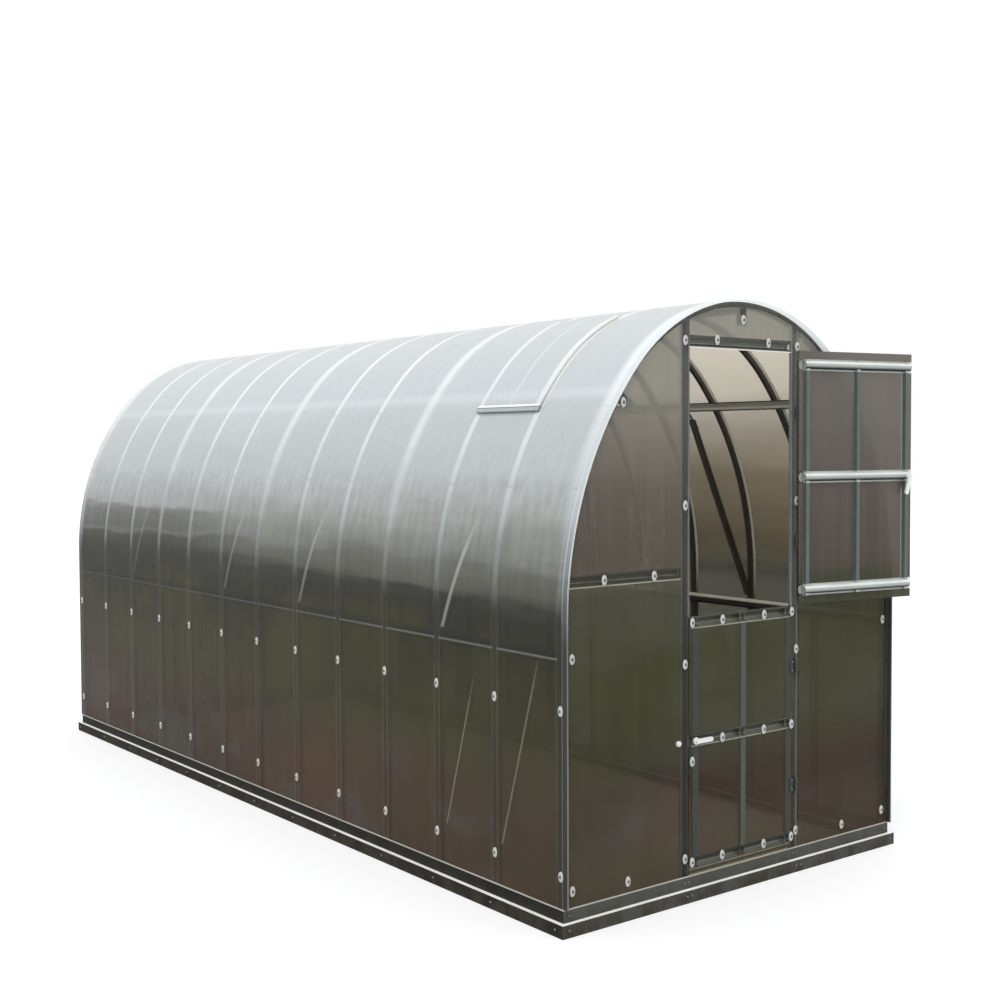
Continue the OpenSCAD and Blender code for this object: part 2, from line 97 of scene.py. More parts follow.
# the gables: posts, rails, the end arch's tube and the brackets where the purlins end, as
# (x, height, radius)
GABLE_FRONT = low("front_sheet_left", 1)
GABLE_REAR = high("rear_sheet", 1)
BASE_TOP = high("base_rail_front", 2)
POST_X = 0.290
HAT_HALF = 0.022
TUBE_D = 0.020
RAIL_Z = 1.167
HEADER_Z = 1.980
HEADER_END = 0.311
BRACKETS = ((0.596, 1.768, 0.024), (0.0, 2.098, 0.018))

# the door's leaves, of which the upper is drawn open; both turn about one upright line
LEAF_FRONT = low("lower_leaf_sheet", 1)
LEAF_EDGE = 0.2645
STILE_X = 0.247
LOWER_RAILS = (0.129, 0.569, 0.990)
UPPER_RAILS = (1.071, 1.494, 1.914)
HINGE = Vector(frame["joints"][1]["pos_m"])
OPEN_ANGLE = math.radians(170)
HINGE_HEIGHTS = (0.333, 0.782, 1.254, 1.736)
HINGE_PLATE_T = 0.003
POST_SCREW_RISES = (-0.0165, 0.0175)
LEAF_SCREW_RISES = (-0.0165, 0.0165)

# ---- nodes of a material ----

OBJECT_NORMAL, OBJECT_POINT = 1, 3      # outputs of the texture coordinate node


class Tree:
    """A material whose nodes are made with short calls."""

    def __init__(self, name):
        self.mat = bpy.data.materials.new(name)
        self.mat.use_nodes = True
        self.nodes = self.mat.node_tree.nodes
        self.nodes.clear()

    def add(self, kind, inputs=None, out=0, **props):
        """A node with values or links on its inputs; gives back one of its outputs."""
        node = self.nodes.new("ShaderNode" + kind)
        for key, value in props.items():
            setattr(node, key, value)
        for key, value in (inputs or {}).items():
            if isinstance(value, bpy.types.NodeSocket):
                self.mat.node_tree.links.new(value, node.inputs[key])
            else:
                node.inputs[key].default_value = value
        return node.outputs[out]

    def math(self, op, a, b=0.0, clamp=False):
        return self.add("Math", {0: a, 1: b}, operation=op, use_clamp=clamp)

    def times(self, a, b):
        return self.math("MULTIPLY", a, b)

    def plus(self, a, b):
        return self.math("ADD", a, b)

    def minus(self, a, b):
        return self.math("SUBTRACT", a, b)

    def most(self, a, b):
        return self.math("MAXIMUM", a, b)

    def size(self, value):
        """The value without its sign."""
        return self.math("ABSOLUTE", value)

    def axes(self, vector):
        """The x, y and z of a vector."""
        node = self.nodes.new("ShaderNodeSeparateXYZ")
        self.mat.node_tree.links.new(vector, node.inputs[0])
        return tuple(node.outputs)

    def place(self):
        """The point on the object, in metres, and its x, y and z."""
        point = self.add("TexCoord", out=OBJECT_POINT)
        return (point, *self.axes(point))

    def facing(self):
        """The x, y and z of the surface's normal, each from -1 to 1."""
        return self.axes(self.add("TexCoord", out=OBJECT_NORMAL))

    def noise(self, point, scale, stretch=(1, 1, 1), detail=3.0, rough=0.55):
        spot = self.add("Mapping", {"Vector": point, "Scale": stretch})
        return self.add(
            "TexNoise", {"Vector": spot, "Scale": scale, "Detail": detail, "Roughness": rough}
        )

    def cells(self, point, scale):
        """A colour for each small cell, for the spangles of zinc."""
        return self.add("TexVoronoi", {"Vector": point, "Scale": scale}, out=1)

    def step(self, value, a, b, lo=0.0, hi=1.0):
        """Runs smoothly from lo where value is a to hi where it is b."""
        ends = {"Value": value, "From Min": a, "From Max": b, "To Min": lo, "To Max": hi}
        return self.add("MapRange", ends, interpolation_type="SMOOTHSTEP")

    def ramp(self, value, stops):
        """A colour or grey level by value; stops are (place, level) pairs, places in 0 to 1."""
        node = self.nodes.new("ShaderNodeValToRGB")
        self.mat.node_tree.links.new(value, node.inputs[0])
        band = node.color_ramp
        while len(band.elements) < len(stops):
            band.elements.new(0.5)
        for element, (place, level) in zip(band.elements, stops):
            element.position = place
            element.color = rgba(level)
        return node.outputs[0]

    def mix(self, share, a, b, blend="MIX"):
        """A colour between a and b; 6 and 7 are the mix node's colour inputs."""
        colours = {0: share, 6: a if linked(a) else rgba(a), 7: b if linked(b) else rgba(b)}
        return self.add("Mix", colours, out=2, data_type="RGBA", blend_type=blend)

    def bump(self, height, strength, distance=0.001):
        return self.add("Bump", {"Height": height, "Strength": strength, "Distance": distance})

    def blend(self, share, a, b):
        return self.add("MixShader", {0: share, 1: a, 2: b})

    def done(self, shader):
        """Links the shader to the output and gives the finished material."""
        node = self.nodes.new("ShaderNodeOutputMaterial")
        self.mat.node_tree.links.new(shader, node.inputs["Surface"])
        return self.mat


def linked(value):
    return isinstance(value, bpy.types.NodeSocket)


def rgba(level):
    if isinstance(level, (int, float)):
        return (level, level, level, 1.0)
    return (*level, 1.0)


def srgb(r, g, b):
    """Linear colour of a display colour in 11 to 255, where the sRGB curve is a power."""
    return tuple(((c / 255 + 0.055) / 1.055) ** 2.4 for c in (r, g, b))


# ---- masks, each a level of 0 to 1 ----

SLANT_FADE = 0.18


def band(t, value, middle_value, half_width, blur=0.002):
    """1 where value is within half_width of middle_value, and 0 outside."""
    away = t.size(t.minus(value, middle_value))
    return t.step(away, half_width + blur, half_width - blur)


def any_of(t, masks):
    """The strongest of several masks."""
    total = masks[0]
    for mask in masks[1:]:
        total = t.most(total, mask)
    return total


def level_bands(t, value, places, half_width, blur=0.002):
    """1 on bands of one width at several places."""
    return any_of(t, [band(t, value, place, half_width, blur) for place in places])


def near_arch(t, y, half_width, blur, every=1):
    """1 on the bands over the arches and 0 between them."""
    spacing = BAY * every
    turn = t.math("FRACT", t.plus(t.times(y, 1 / spacing), 0.5))
    away = t.times(t.size(t.minus(turn, 0.5)), spacing)
    return t.step(away, half_width + blur, half_width - blur)


def length_of(t, a, b):
    return t.math("SQRT", t.plus(t.times(a, a), t.times(b, b)))


def inward(t, x, z):
    """How far a point of a gable lies inside the outer face of the end arch, in metres."""
    rise = t.most(t.minus(z, SPRING_Z), 0.0)
    side = t.minus(SIDE_R, length_of(t, t.minus(t.size(x), SIDE_CX), rise))
    crown = t.minus(CROWN_R, length_of(t, x, t.minus(z, CROWN_CZ)))
    above = t.math("GREATER_THAN", z, KNEE_Z)
    return t.plus(side, t.times(above, t.minus(crown, side)))


def bracket_spot(t, x, z, place, height, radius):
    """1 on the short bracket behind the sheet where a purlin ends."""
    away = length_of(t, t.minus(t.size(x), place), t.minus(z, height))
    return t.step(away, radius + 0.002, radius - 0.002)


def slanting(t, y, z, foot, slope, z0, z1, half_width, blur):
    """1 on a line that leans along the house: y is foot at z0 and grows by slope with height.

    It starts sharply at z0 and fades out below z1."""
    line = t.plus(t.times(t.minus(z, z0), slope), foot)
    start = t.step(z, z0 - 0.004, z0 + 0.006)
    fade = t.step(z, z1, z1 - SLANT_FADE)
    return t.times(band(t, y, line, half_width, blur), t.times(start, fade))


# ---- steel ----


def galvanised(
    name, under, side, above, rough, metallic, spangle=0.25, dirt=None, ends=None, rails=(), lip=None,
    flanges=False, lines=(), paler=None, specular=0.5,
):
    """Zinc-coated steel, with painted light on faces turned up and painted shade underneath.

    It has spangles, dull clouds and, near the soil, dirt, given as its tone and the height
    that it reaches. Faces turned to the ends of X take the tone ends, a painted shade. The
    rails at the heights given are painted paler than the rest and darker underneath, as painted
    light and shade, or else, where lip is given, have a painted highlight of that tone along
    their lower edge. flanges turns the arches' flanges to the tone of the sheet behind them,
    painted shade low down and painted light high up, and lines are level lines as (height,
    half width, tone). From x = paler[0] to paler[1] the steel turns paler, a painted light.
    specular is how strongly it mirrors where it isn't bare metal."""
    t = Tree(name)
    point, x, y, z = t.place()
    along, _, facing_up = t.facing()
    flakes = t.cells(point, 160)
    clouds = t.noise(point, 9, (1, 1, 1), 3, 0.5)
    fine = t.noise(point, 90, (1, 1, 1), 3, 0.6)
    metal = metallic
    # painted shade on the faces turned to either end of X
    if ends:
        aside = t.step(t.size(along), 0.5, 0.8)
        side = t.mix(aside, side, ends)
        metal = t.times(t.minus(1.0, aside), metal)
    # painted light and shade on the rails: darker underneath, paler at the side and above
    if rails and not lip:
        rail = level_bands(t, z, rails, HAT_HALF)
        under = t.mix(rail, under, srgb(34, 40, 37))
        side = t.mix(rail, side, srgb(176, 182, 178))
        above = t.mix(rail, above, srgb(246, 249, 245))
    # painted shade on faces turned down and painted light on faces turned up
    colour = t.mix(t.step(facing_up, -0.75, -0.20), under, side)
    colour = t.mix(t.step(facing_up, 0.10, 0.70), colour, above)
    # painted highlight along the rails' lower edge, and a fainter one just below their middle
    if lip:
        line = level_bands(t, z, [place - HAT_HALF + 0.002 for place in rails], 0.0022, 0.0008)
        thin = level_bands(t, z, [place - 0.005 for place in rails], 0.0014, 0.0007)
        colour = t.mix(line, colour, lip)
        colour = t.mix(t.times(thin, 0.55), colour, lip)
    # the flanges in painted shade low down and painted light high up
    if flanges:
        flange = t.minus(1.0, near_arch(t, y, 0.0135, 0.001))
        flange_tone = t.mix(t.step(z, 0.85, 1.15), srgb(96, 92, 78), srgb(248, 246, 238))
        colour = t.mix(flange, colour, flange_tone)
        metal = t.times(t.minus(1.0, flange), metal)
    # painted light on the steel from x = paler[0] on
    if paler:
        colour = t.mix(t.times(t.step(x, *paler), 0.45), colour, srgb(176, 182, 180))
    for height, half_width, tone in lines:
        colour = t.mix(band(t, z, height, half_width, 0.0008), colour, tone)
    wear = t.plus(t.plus(t.times(flakes, spangle), t.times(clouds, 0.5)), t.times(fine, 0.25))
    worn = t.mix(t.step(wear, 0.25, 0.85), (0.88, 0.88, 0.88), (1.12, 1.13, 1.13))
    colour = t.mix(1.0, colour, worn, "MULTIPLY")
    gloss = t.step(t.plus(clouds, t.times(flakes, 0.3)), 0.3, 0.9, rough, rough + 0.15)
    if dirt:
        soil, top = dirt
        patches = t.noise(point, 14, (1, 1, 0.7), 5, 0.65)
        share = t.times(t.step(z, top, 0.0), t.step(patches, 0.38, 0.62, 0.25, 1.0))
        share = t.times(share, t.step(facing_up, 0.6, 0.2))
        colour = t.mix(share, colour, soil)
        gloss = t.math("ADD", gloss, t.times(share, 0.35), clamp=True)
        dull = t.most(share, t.step(facing_up, 0.4, 0.8))
        metal = t.times(t.minus(1.0, dull), metal)
    relief = t.bump(t.plus(fine, t.times(flakes, 0.4)), 0.10, 0.0004)
    steel = t.add("BsdfPrincipled", {
        "Base Color": colour, "Metallic": metal, "Roughness": gloss, "Normal": relief,
        "Specular IOR Level": specular,
    })
    return t.done(steel)


# ---- sheets ----

RAMP_TOP = 2.2


def by_height(stops):
    """Ramp stops from heights in metres."""
    return [(z / RAMP_TOP, level) for z, level in stops]


# tones by height: the near and the far part of the roof, its inner side and its ribs; their
# paleness high up is painted light and painted reflection of the sky, and the ribs are painted light
ROOF_TONE = by_height([
    (0.00, srgb(82, 64, 50)), (0.35, srgb(82, 69, 53)), (0.60, srgb(79, 75, 52)),
    (0.90, srgb(61, 61, 46)), (1.02, srgb(62, 63, 55)), (1.075, srgb(70, 71, 64)),
    (1.11, srgb(108, 108, 100)), (1.18, srgb(119, 119, 113)), (1.23, srgb(141, 143, 139)),
    (1.31, srgb(151, 153, 150)), (1.41, srgb(173, 177, 176)), (1.52, srgb(189, 194, 196)),
    (1.60, srgb(191, 197, 199)), (1.85, srgb(203, 209, 213)), (2.14, srgb(210, 215, 217)),
])
FAR_TONE = by_height([
    (0.00, srgb(82, 64, 50)), (0.35, srgb(82, 69, 53)), (0.60, srgb(79, 75, 52)),
    (0.90, srgb(61, 61, 46)), (1.10, srgb(64, 65, 57)), (1.185, srgb(80, 81, 74)),
    (1.205, srgb(122, 124, 118)), (1.225, srgb(101, 102, 97)), (1.285, srgb(120, 122, 119)),
    (1.315, srgb(164, 168, 168)), (1.40, srgb(175, 180, 181)), (1.52, srgb(189, 194, 196)),
    (1.60, srgb(191, 197, 199)), (1.85, srgb(203, 209, 213)), (2.14, srgb(210, 215, 217)),
])
INNER_TONE = by_height([
    (0.00, srgb(88, 82, 64)), (1.00, srgb(90, 88, 72)), (1.30, srgb(148, 140, 124)),
    (1.50, srgb(172, 165, 151)), (1.70, srgb(200, 196, 187)), (1.85, srgb(226, 222, 213)),
    (2.14, srgb(232, 228, 219)),
])
RIB_TONE = by_height([
    (0.00, srgb(80, 81, 74)), (1.00, srgb(82, 85, 78)), (1.12, srgb(120, 124, 118)),
    (1.25, srgb(150, 155, 153)), (1.45, srgb(198, 204, 206)), (1.70, srgb(226, 231, 233)),
    (1.90, srgb(238, 243, 246)), (2.14, srgb(246, 250, 253)),
])
# tones of the gables' sheets, the upper leaf's sheet and the eave's overhang; paler high up
# as painted light and painted reflection of the sky
GABLE_TONE = by_height([
    (0.00, srgb(94, 76, 57)), (0.20, srgb(91, 84, 70)), (0.40, srgb(76, 65, 56)),
    (0.60, srgb(88, 86, 68)), (0.85, srgb(92, 93, 73)), (1.12, srgb(94, 96, 78)),
    (1.18, srgb(120, 111, 99)), (1.45, srgb(136, 128, 120)), (1.65, srgb(160, 155, 147)),
    (1.80, srgb(180, 178, 172)), (2.14, srgb(180, 179, 174)),
])
LEAF_TONE = by_height([
    (0.00, srgb(82, 82, 62)), (1.09, srgb(82, 83, 66)), (1.15, srgb(98, 90, 80)),
    (1.45, srgb(112, 104, 98)), (1.65, srgb(122, 116, 110)), (1.85, srgb(128, 122, 117)),
    (2.14, srgb(128, 118, 112)),
])
EAVE_TONE = by_height([
    (0.00, srgb(58, 60, 56)), (0.95, srgb(66, 70, 68)), (1.10, srgb(104, 110, 112)),
    (1.25, srgb(150, 158, 162)), (1.45, srgb(196, 204, 207)), (1.80, srgb(222, 228, 230)),
    (2.14, srgb(240, 243, 244)),
])
# how much a sheet hides by height, and how it tints what passes through it
ROOF_COVER = by_height([
    (0.00, 0.62), (1.00, 0.66), (1.08, 0.76), (1.20, 0.86), (1.50, 0.93), (2.14, 0.95),
])
GABLE_COVER = by_height([
    (0.00, 0.50), (0.45, 0.52), (0.60, 0.60), (1.10, 0.62), (1.25, 0.50), (2.14, 0.46),
])
UPPER_LEAF_COVER = by_height([(0.00, 0.80), (2.14, 0.80)])
CONTACT_COVER = 0.12
VEIL_COVER = 0.82
TINT = (0.685, 0.67, 0.605)
CONTACT_TINT = (0.93, 0.93, 0.91)
WEB_PITCH = 0.0105

# marks on the roof: the vent's stripes of painted light as (y, half width, share), and its
# ticks; the bolts that interrupt the painted-light ribs; the braces' lines of painted light;
# the canes as (foot's y, top's z)
VENT_STRIPES = ((0.694, 0.013, 0.9), (0.525, 0.006, 0.5), (0.360, 0.015, 0.9))
VENT_TICKS = (0.38, 0.52, 0.66)
VENT_TICK_Z = 1.797
RIB_BOLTS = (1.475, 1.750)
BRACE_MARK_SHIFT = -0.035
BRACE_MARK_SLOPE = -0.43
BRACE_MARK_TOP = 1.42
CANES = ((0.640, 0.85), (0.310, 0.95))
CANE_SLOPE = -0.30
CANE_FOOT_Z = 0.235


def sheet_shader(t, point, across, colour, cover, clear, shine, glow_share):
    """Twin-wall sheet: a tinted skin that scatters, glows against the light and lets some through.

    The webs between its two skins run upright, at even steps of across. Where clear is 1 the
    light that passes is hardly tinted, so that what is close behind shows."""
    turn = t.times(across, 2 * math.pi / WEB_PITCH)
    web = t.plus(t.times(t.math("SINE", turn), 0.5), 0.5)
    clouds = t.noise(point, 3.2, (1, 1, 1), 4, 0.6)
    colour = t.mix(t.times(web, 0.10), colour, (0.9, 0.9, 0.9), "OVERLAY")
    scratch = t.noise(point, 60, (1, 1, 0.2), 2, 0.5)
    rough = t.step(scratch, 0.3, 0.8, 0.30, 0.36)
    relief = t.bump(t.plus(web, t.times(clouds, 2.5)), 0.12, 0.0006)
    skin = t.add("BsdfPrincipled", {
        "Base Color": colour, "Roughness": rough, "Normal": relief, "Specular IOR Level": shine,
    })
    glow = t.add("BsdfTranslucent", {"Color": colour, "Normal": relief})
    body = t.blend(glow_share, skin, glow)
    through = t.add("BsdfTransparent", {"Color": t.mix(clear, TINT, CONTACT_TINT)})
    return t.blend(cover, through, body)


def uneven_height(t, point, z):
    """The height with the soft level streaks that break up a tone's upper edge."""
    bands = t.noise(point, 1.0, (0.5, 0.9, 7.0), 3, 0.55)
    fine = t.noise(point, 1.0, (2.5, 2.5, 34.0), 2, 0.5)
    sway = t.plus(t.times(bands, 0.20), t.times(fine, 0.05))
    height = t.plus(z, t.minus(sway, 0.125))
    return t.math("MULTIPLY", height, 1 / RAMP_TOP, clamp=True)


def wall_mottling(t, point, z, colour):
    """Soil and grass that show dimly through the low wall, and fine upright streaks."""
    low_down = t.step(z, 1.06, 0.96)
    soil = t.step(t.noise(point, 1.0, (1.0, 1.7, 2.4), 4, 0.6), 0.44, 0.60)
    grass = t.step(t.noise(point, 1.3, (1.0, 1.5, 2.0), 4, 0.6), 0.44, 0.58)
    pale_mark = t.step(t.noise(point, 1.7, (1.0, 1.2, 2.6), 3, 0.5), 0.50, 0.66)
    for patches, fade, share, tone in (
        (soil, (0.62, 0.30), 0.75, srgb(96, 70, 54)),
        (grass, (0.40, 0.62), 0.7, srgb(80, 80, 48)),
        (pale_mark, (0.55, 0.30), 0.55, srgb(94, 91, 90)),
    ):
        patches = t.times(t.times(patches, t.step(z, *fade)), low_down)
        colour = t.mix(t.times(patches, share), colour, tone)
    streaks = t.noise(point, 1.0, (34.0, 34.0, 1.3), 3, 0.6)
    light = t.mix(t.step(streaks, 0.30, 0.70), (0.91, 0.91, 0.91), (1.09, 1.09, 1.09))
    share = t.minus(1.0, t.step(z, 1.40, 1.65, 0.0, 0.75))
    return t.mix(share, colour, light, "MULTIPLY")


def vent_marks(t, y, z, outside, level, colour, cover, stripes):
    """The vent's pale stripes of painted light, which take the place of those over the arches, and its ticks."""
    for place, half_width, strength in stripes:
        share = t.times(t.times(band(t, y, place, half_width, 0.005), outside), strength)
        colour = t.mix(share, colour, t.ramp(level, RIB_TONE))
        cover = t.most(cover, share)
    ticks = level_bands(t, y, VENT_TICKS, 0.0016, 0.001)
    ticks = t.times(ticks, band(t, z, VENT_TICK_Z, 0.012, 0.003))
    return t.mix(t.times(ticks, 0.35), colour, srgb(120, 126, 126)), cover


def arch_marks(t, y, z, outside, level, colour, cover):
    """The arches behind the sheet: thin dark lines of painted shade low down, and pale ribs of painted light
    higher up.
    """
    # painted shade: thin dark lines over the arches low down
    flange = t.times(near_arch(t, y, HAT_HALF, 0.003), t.step(z, 1.16, 1.08))
    flange = t.times(flange, outside)
    dark = t.times(near_arch(t, y, 0.0075, 0.004), flange)
    cover = t.mix(flange, cover, 0.90)
    colour = t.mix(t.times(dark, 0.80), colour, srgb(52, 53, 48))
    # painted light: pale ribs over the arches higher up, broken at the bolts
    bolts = level_bands(t, z, RIB_BOLTS, 0.004, 0.003)
    rib = t.times(near_arch(t, y, 0.0150, 0.004), t.minus(1.0, t.times(bolts, 0.55)))
    share = t.times(rib, t.times(outside, t.step(z, 1.02, 1.14)))
    # painted light: soft pale bands over the arches where the sheets join
    joint = near_arch(t, y, 0.030, 0.016, BAYS_PER_SHEET)
    soft = t.times(t.times(joint, 0.75), t.times(outside, t.step(z, 1.10, 1.5)))
    share = t.most(share, soft)
    colour = t.mix(share, colour, t.ramp(level, RIB_TONE))
    return colour, t.most(cover, t.times(share, 0.97))


def purlin_and_brace_marks(t, x, y, z, outside, colour, cover):
    """The lower purlin as painted shade with a painted highlight on its lip, the left braces as pale lines of
    painted light and two canes that lean on the frame.
    """
    between = t.times(t.minus(1.0, near_arch(t, y, 0.012, 0.003)), outside)
    # painted shade: a dark band over the lower purlin
    body = t.times(band(t, z, LOW_PURLIN_BODY, 0.012, 0.004), between)
    colour = t.mix(t.times(body, 0.45), colour, srgb(50, 55, 54))
    # painted highlight along the lower purlin's lip
    lip = t.times(band(t, z, LOW_PURLIN_LIP, 0.0040, 0.0025), between)
    lip = t.times(lip, t.step(y, 3.6, 0.4, 0.35, 0.95))
    colour = t.mix(lip, colour, srgb(116, 121, 116))
    leaning = [
        slanting(t, y, z, k * BAY + BRACE_MARK_SHIFT, BRACE_MARK_SLOPE, BRACE_FOOT_Z, BRACE_MARK_TOP,
                 0.0100, 0.004)
        for k in BRACED
    ]
    canes = [
        slanting(t, y, z, foot, CANE_SLOPE, CANE_FOOT_Z, top, 0.0040, 0.0020) for foot, top in CANES
    ]
    braces = t.times(any_of(t, leaning), t.step(y, 3.6, 0.6, 0.30, 0.95))
    braces = t.most(braces, t.times(any_of(t, canes), 0.80))
    # painted light: the braces as pale lines, with the canes in the same pale tone
    pale = t.times(t.times(braces, t.step(x, 0.1, -0.1)), outside)
    brace_tone = t.mix(t.step(z, 0.9, 1.3), srgb(142, 143, 133), srgb(178, 180, 175))
    colour = t.mix(pale, colour, brace_tone)
    return colour, t.most(cover, t.most(pale, lip))


def eave_marks(t, y, z, level, colour, cover, gable, edge, way):
    """The overhang past the gable, paler high up as painted light, with a painted highlight where it starts and
    along its pale cut edge.
    """
    past = t.step(t.times(y, way), way * gable - 0.0055, way * gable - 0.0045)
    colour = t.mix(past, colour, t.ramp(level, EAVE_TONE))
    cover = t.most(cover, t.times(past, 0.90))
    start = band(t, y, gable - way * 0.004, 0.0018, 0.0012)
    cut = t.step(t.times(y, way), way * edge - 0.0012, way * edge - 0.0006)
    line = t.most(cut, t.times(start, 0.7))
    cut_tone = t.mix(t.step(z, 0.95, 1.25), srgb(128, 131, 125), srgb(240, 244, 244))
    return t.mix(line, colour, cut_tone), t.most(cover, line)


def roof_sheet(name, eave=None, stripes=()):
    """Roof and wall sheet: smoky low down, milky where the sky lights it as painted light and painted reflection,
    and pale over the arches as painted light.

    eave is the gable's face, the eave's edge and its direction, for a sheet that overhangs one.
    stripes are the vent's pale bands in place of those over the arches, as (y, half width,
    share)."""
    t = Tree(name)
    point, x, y, z = t.place()
    along, _, up = t.facing()
    outward = t.plus(t.times(along, x), t.times(up, t.minus(z, CROWN_CZ)))
    outside = t.step(outward, -0.02, 0.02)
    level = uneven_height(t, point, z)
    colour = t.mix(t.step(y, 2.1, 3.1), t.ramp(level, ROOF_TONE), t.ramp(level, FAR_TONE))
    colour = wall_mottling(t, point, z, colour)
    cover = t.ramp(level, ROOF_COVER)
    # painted light: a pale band over the upper purlin
    pale_mark = t.times(band(t, z, UPPER_PURLIN_LIGHT_Z, 0.017, 0.012), outside)
    colour = t.mix(t.times(pale_mark, 0.30), colour, srgb(232, 237, 240))
    if stripes:
        colour, cover = vent_marks(t, y, z, outside, level, colour, cover, stripes)
    else:
        colour, cover = arch_marks(t, y, z, outside, level, colour, cover)
        colour, cover = purlin_and_brace_marks(t, x, y, z, outside, colour, cover)
    # the face turned inward, in painted light: dim low down and pale near the ridge
    inner = t.times(t.minus(1.0, outside), t.step(z, 1.02, 1.15))
    colour = t.mix(inner, colour, t.ramp(level, INNER_TONE))
    if eave:
        colour, cover = eave_marks(t, y, z, level, colour, cover, *eave)
    glow_share = t.mix(inner, t.step(z, 1.05, 1.40, 0.30, 0.12), 0.85)
    return t.done(sheet_shader(t, point, y, colour, cover, 0.0, 0.30, glow_share))


def gable_finish(t, point, across, z, steel, covers, tones=GABLE_TONE, veils=()):
    """Smoky sheet that is clear where steel lies behind it; steel is the list of masks.

    veils are pairs of a mask and a tone, for steel that shows as an even band."""
    level = uneven_height(t, point, z)
    contact = any_of(t, steel)
    cover = t.mix(contact, t.ramp(level, covers), CONTACT_COVER)
    # the tones by height: paler high up as painted light and painted reflection
    colour = wall_mottling(t, point, z, t.ramp(level, tones))
    for veil, tone in veils:
        colour = t.mix(veil, colour, tone)
        cover = t.mix(veil, cover, VEIL_COVER)
    return t.done(sheet_shader(t, point, across, colour, cover, contact, 0.25, 0.30))


def gable_sheet(name):
    """Sheet of a gable over the posts, rails, brackets and the end arch."""
    t = Tree(name)
    point, x, _, z = t.place()
    aside = t.size(x)
    header = t.times(
        band(t, z, HEADER_Z, HAT_HALF), t.step(aside, HEADER_END + 0.001, HEADER_END - 0.001)
    )
    steel = [
        band(t, aside, POST_X, HAT_HALF), band(t, z, RAIL_Z, HAT_HALF), header,
        t.step(inward(t, x, z), TUBE_D + 0.001, TUBE_D - 0.001),
    ]
    steel += [bracket_spot(t, x, z, *bracket) for bracket in BRACKETS]
    return gable_finish(t, point, x, z, steel, GABLE_COVER)


def leaf_sheet(name, rails, covers, swung=False):
    """Sheet of a door leaf over its stiles, upright and rails; swung is for the one drawn open."""
    t = Tree(name)
    point, x, y, z = t.place()
    across = x
    if swung:
        run = t.times(t.minus(x, HINGE.x), math.cos(OPEN_ANGLE))
        fall = t.times(t.minus(y, HINGE.y), math.sin(OPEN_ANGLE))
        across = t.plus(t.plus(run, fall), HINGE.x)
    aside = t.size(across)
    reach = (rails[-1] - rails[0]) / 2 + HAT_HALF
    within = band(t, z, (rails[-1] + rails[0]) / 2, reach, 0.001)
    steel = [band(t, z, place, HAT_HALF) for place in rails]
    between = t.minus(within, any_of(t, steel))
    upright = t.times(band(t, aside, 0.0, 0.0125), between)
    stiles = t.times(band(t, aside, STILE_X, 0.015), between)
    if swung:
        steel += [upright, stiles]
        return gable_finish(t, point, across, z, steel, covers, LEAF_TONE)
    veils = ((upright, srgb(101, 108, 104)), (stiles, srgb(80, 84, 79)))
    return gable_finish(t, point, across, z, steel, covers, veils=veils)


# ---- plastic and the floor ----


def moulded(name, colour, rough, grain=420):
    """Moulded plastic with a fine grain and slight flow marks."""
    t = Tree(name)
    point = t.place()[0]
    fine = t.noise(point, grain, (1, 1, 1), 3, 0.6)
    flow = t.noise(point, 22, (1, 1, 1), 3, 0.6)
    tint = t.mix(t.step(flow, 0.35, 0.75, 0.0, 0.22), colour, tuple(0.72 * c for c in colour))
    skin = t.add("BsdfPrincipled", {
        "Base Color": tint, "Roughness": t.step(flow, 0.3, 0.8, rough, rough + 0.15),
        "Normal": t.bump(fine, 0.12, 0.0003),
    })
    return t.done(skin)


def floor_material():
    """A pale floor that keeps the shadow, reads as white round it and doesn't glow inside."""
    t = Tree("pale_floor")
    skin = t.add("BsdfDiffuse", {"Color": (0.86, 0.86, 0.86, 1.0)})
    lift = t.add("Emission", {"Color": (1.0, 1.0, 1.0, 1.0), "Strength": 0.24})
    lit = t.add("AddShader", {0: skin, 1: lift})
    _, x, y, _ = t.place()
    inside = t.times(t.step(t.size(x), SKIN_X, SKIN_X - 0.02), band(t, y, LENGTH / 2, LENGTH / 2))
    seen = t.times(t.add("LightPath"), t.minus(1.0, inside))
    return t.done(t.blend(seen, skin, lit))


# ---- the materials, and which frame node gets which ----

# tones of galvanised steel underneath, at the side and above: painted shade underneath and painted light above
ZINC = (srgb(60, 62, 60), srgb(100, 106, 106), srgb(150, 155, 154))
EDGE_SHADE = srgb(70, 70, 66)

